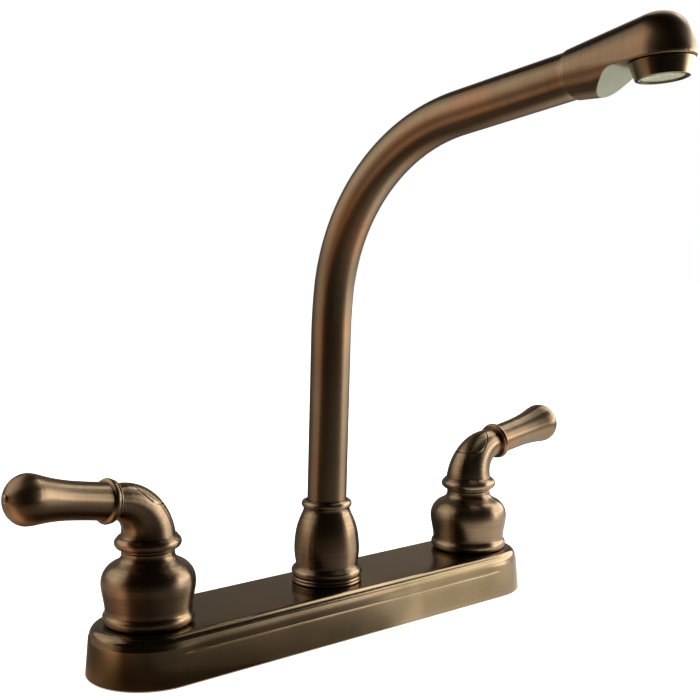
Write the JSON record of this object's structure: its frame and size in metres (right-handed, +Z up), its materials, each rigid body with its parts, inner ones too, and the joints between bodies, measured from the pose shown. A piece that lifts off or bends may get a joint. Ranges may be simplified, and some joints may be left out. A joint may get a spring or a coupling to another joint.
{
  "type": "two handle kitchen faucet",
  "caption": "Deck-mounted kitchen faucet: a tall bent swivel spout between teapot lever handles on a long cover with rounded ends.",
  "frame": {"origin": "middle of the cover's underside, on the top of the deck and on the axis of the spout post", "axes": "+X to the cold handle, -Y to the sink and the user, +Z up; the shanks reach below the deck at negative Z"},
  "size_m": [0.3409, 0.2187, 0.3189],
  "materials": {
    "bronze": "brushed dark bronze with copper and tan highlights",
    "brass_raw": "turned and cast brass, unplated",
    "copper_tube": "drawn copper",
    "steel": "plain stainless",
    "rubber_black": "matt black",
    "plastic_black": "moulded, satin",
    "plastic_pale": "moulded, pale greenish cream"
  },
  "bodies": {
    "base": {"deck_cover": "bronze", "hot_bell": "bronze", "cold_bell": "bronze", "spout_collar": "bronze", "collar_ring_upper": "bronze", "collar_ring_lower": "bronze", "hot_valve_body": "brass_raw", "cold_valve_body": "brass_raw", "hot_bonnet_nut": "brass_raw", "cold_bonnet_nut": "brass_raw", "hot_cartridge_housing": "brass_raw", "cold_cartridge_housing": "brass_raw", "hot_lock_nut": "brass_raw", "cold_lock_nut": "brass_raw", "spout_post": "brass_raw", "hot_cross_tube": "copper_tube", "cold_cross_tube": "copper_tube", "hot_seat_spring": "steel", "cold_seat_spring": "steel", "hot_lock_washer": "steel", "cold_lock_washer": "steel", "base_screw_left": "steel", "base_screw_right": "steel", "hot_seat_seal": "rubber_black", "cold_seat_seal": "rubber_black", "base_gasket": "rubber_black", "base_plate": "plastic_black", "spout_slip_ring": "plastic_black"},
    "hot_handle": {"hot_handle_hub": "bronze", "hot_lever": "bronze", "hot_handle_screw": "steel", "hot_index_cap": "bronze", "hot_stem": "brass_raw", "hot_stem_o_ring": "rubber_black"},
    "cold_handle": {"cold_handle_hub": "bronze", "cold_lever": "bronze", "cold_handle_screw": "steel", "cold_index_cap": "bronze", "cold_stem": "brass_raw", "cold_stem_o_ring": "rubber_black"},
    "spout": {"spout_tube": "bronze", "spout_bushing": "brass_raw", "spout_o_ring_upper": "rubber_black", "spout_o_ring_lower": "rubber_black", "spout_head": "bronze", "aerator_shell": "bronze", "aerator_insert": "plastic_pale", "aerator_washer": "rubber_black"}
  },
  "joints": [
    {"name": "hot_handle_turn", "type": "hinge", "parent": "base", "child": "hot_handle", "pos_m": [-0.1016, 0, 0], "axis": [0, 0, 1], "range_deg": [0, 90]},
    {"name": "cold_handle_turn", "type": "hinge", "parent": "base", "child": "cold_handle", "pos_m": [0.1016, 0, 0], "axis": [0, 0, 1], "range_deg": [-90, 0]},
    {"name": "spout_swivel", "type": "hinge", "parent": "base", "child": "spout", "pos_m": [0, 0, 0], "axis": [0, 0, 1], "continuous": true}
  ]
}
